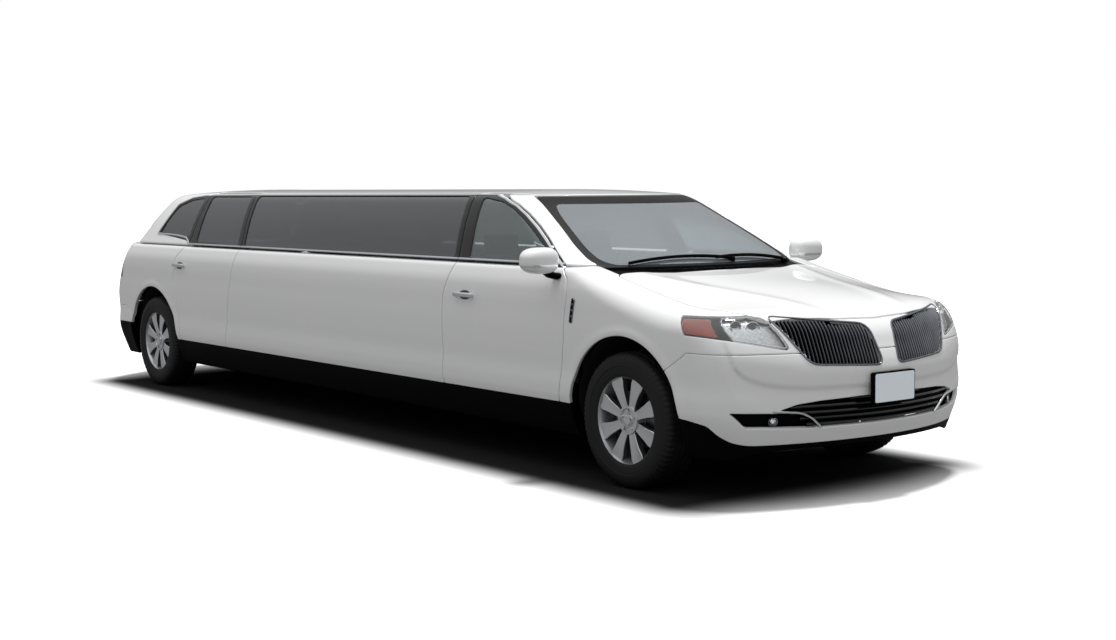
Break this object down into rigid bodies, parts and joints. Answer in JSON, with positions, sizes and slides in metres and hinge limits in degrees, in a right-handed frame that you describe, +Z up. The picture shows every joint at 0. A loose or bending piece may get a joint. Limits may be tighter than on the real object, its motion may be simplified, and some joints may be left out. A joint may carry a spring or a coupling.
{
  "type": "stretch limousine",
  "caption": "Road car with a long stretched cabin, hinged side doors, hood and rear hatch, steered front wheels and free rolling wheels",
  "frame": {"origin": "centre of the footprint at ground level", "axes": "+X points forward, +Y to the left of the car, +Z up"},
  "size_m": [8.32, 2.349, 1.642],
  "materials": {
    "white_paint": "gloss",
    "dark_plastic": "satin",
    "dark_chrome": "polished",
    "clear_lens": "gloss",
    "red_lens": "gloss",
    "tinted_glass": "gloss",
    "dark_steel": "satin",
    "cast_metal": "satin",
    "steel_pipe": "satin",
    "plate_blank": "satin",
    "black_leather": "satin",
    "tyre": "matte",
    "polished_alloy": "polished"
  },
  "bodies": {
    "body": {"axle_frames": "dark_steel", "bar_cabinet": "dark_plastic", "bulkhead": "dark_steel", "dashboard": "dark_plastic", "engine": "cast_metal", "exhaust": "steel_pipe", "floor_pan": "dark_steel", "fog_lamps": "clear_lens", "front_bumper": "white_paint", "front_seats": "black_leather", "front_wings": "white_paint", "headlamps": "clear_lens", "hinge_plates": "dark_steel", "lounge_bench": "black_leather", "lower_grille": "dark_plastic", "number_plates": "plate_blank", "rear_bench": "black_leather", "rear_bumper": "white_paint", "rear_quarters": "white_paint", "roof_and_pillars": "white_paint", "side_windows": "tinted_glass", "sill_cladding": "dark_plastic", "stretch_sides": "white_paint", "tail_lamps": "red_lens", "upper_grille": "dark_chrome", "wheel_wells": "dark_plastic", "windscreen": "tinted_glass"},
    "hood_leaf": {"hood": "white_paint"},
    "tailgate_leaf": {"tailgate": "white_paint", "tailgate_glass": "tinted_glass"},
    "steering_wheel_turn": {"steering_wheel": "dark_plastic"},
    "front_door_right": {"door_front_right": "white_paint", "door_front_glass_right": "tinted_glass", "mirror_right": "white_paint"},
    "rear_door_right": {"door_rear_right": "white_paint", "door_rear_glass_right": "tinted_glass"},
    "hub_right": {"knuckle_right": "dark_steel"},
    "front_wheel_right": {"tyre_front_right": "tyre", "rim_front_right": "polished_alloy"},
    "rear_wheel_right": {"tyre_rear_right": "tyre", "rim_rear_right": "polished_alloy"},
    "front_door_left": {"door_front_left": "white_paint", "door_front_glass_left": "tinted_glass", "mirror_left": "white_paint"},
    "rear_door_left": {"door_rear_left": "white_paint", "door_rear_glass_left": "tinted_glass"},
    "hub_left": {"knuckle_left": "dark_steel"},
    "front_wheel_left": {"tyre_front_left": "tyre", "rim_front_left": "polished_alloy"},
    "rear_wheel_left": {"tyre_rear_left": "tyre", "rim_rear_left": "polished_alloy"}
  },
  "joints": [
    {"name": "front_door_right_hinge", "type": "hinge", "parent": "body", "child": "front_door_right", "pos_m": [2.636, -0.952, 0.8], "axis": [0, 0, 1], "range_deg": [0, 68]},
    {"name": "rear_door_right_hinge", "type": "hinge", "parent": "body", "child": "rear_door_right", "pos_m": [-1.441, -0.952, 0.8], "axis": [0, 0, 1], "range_deg": [0, 68]},
    {"name": "steer_right", "type": "hinge", "parent": "body", "child": "hub_right", "pos_m": [3.1, -0.7, 0.37], "axis": [0, 0, 1], "range_deg": [-34, 34]},
    {"name": "front_wheel_right_spin", "type": "hinge", "parent": "hub_right", "child": "front_wheel_right", "pos_m": [3.1, -0.8305, 0.37], "axis": [0, 1, 0], "continuous": true},
    {"name": "rear_wheel_right_spin", "type": "hinge", "parent": "body", "child": "rear_wheel_right", "pos_m": [-2.943, -0.828, 0.37], "axis": [0, 1, 0], "continuous": true},
    {"name": "front_door_left_hinge", "type": "hinge", "parent": "body", "child": "front_door_left", "pos_m": [2.636, 0.952, 0.8], "axis": [0, 0, -1], "range_deg": [0, 68]},
    {"name": "rear_door_left_hinge", "type": "hinge", "parent": "body", "child": "rear_door_left", "pos_m": [-1.441, 0.952, 0.8], "axis": [0, 0, -1], "range_deg": [0, 68]},
    {"name": "steer_left", "type": "hinge", "parent": "body", "child": "hub_left", "pos_m": [3.1, 0.7, 0.37], "axis": [0, 0, 1], "range_deg": [-34, 34]},
    {"name": "front_wheel_left_spin", "type": "hinge", "parent": "hub_left", "child": "front_wheel_left", "pos_m": [3.1, 0.8305, 0.37], "axis": [0, 1, 0], "continuous": true},
    {"name": "rear_wheel_left_spin", "type": "hinge", "parent": "body", "child": "rear_wheel_left", "pos_m": [-2.943, 0.828, 0.37], "axis": [0, 1, 0], "continuous": true},
    {"name": "hood_hinge", "type": "hinge", "parent": "body", "child": "hood_leaf", "pos_m": [2.83, 0, 1.165], "axis": [0, -1, 0], "range_deg": [0, 50]},
    {"name": "tailgate_hinge", "type": "hinge", "parent": "body", "child": "tailgate_leaf", "pos_m": [-3.274, 0, 1.59], "axis": [0, 1, 0], "range_deg": [0, 80]},
    {"name": "steering_wheel_turn", "type": "hinge", "parent": "body", "child": "steering_wheel_turn", "pos_m": [1.95, 0.37, 0.965], "axis": [-0.9063, 0, 0.4226], "range_deg": [-540, 540]}
  ],
  "couplings": [
    {"joint": "steer_left", "follows": "steer_right", "ratio": 1},
    {"joint": "steering_wheel_turn", "follows": "steer_right", "ratio": 15.5}
  ]
}
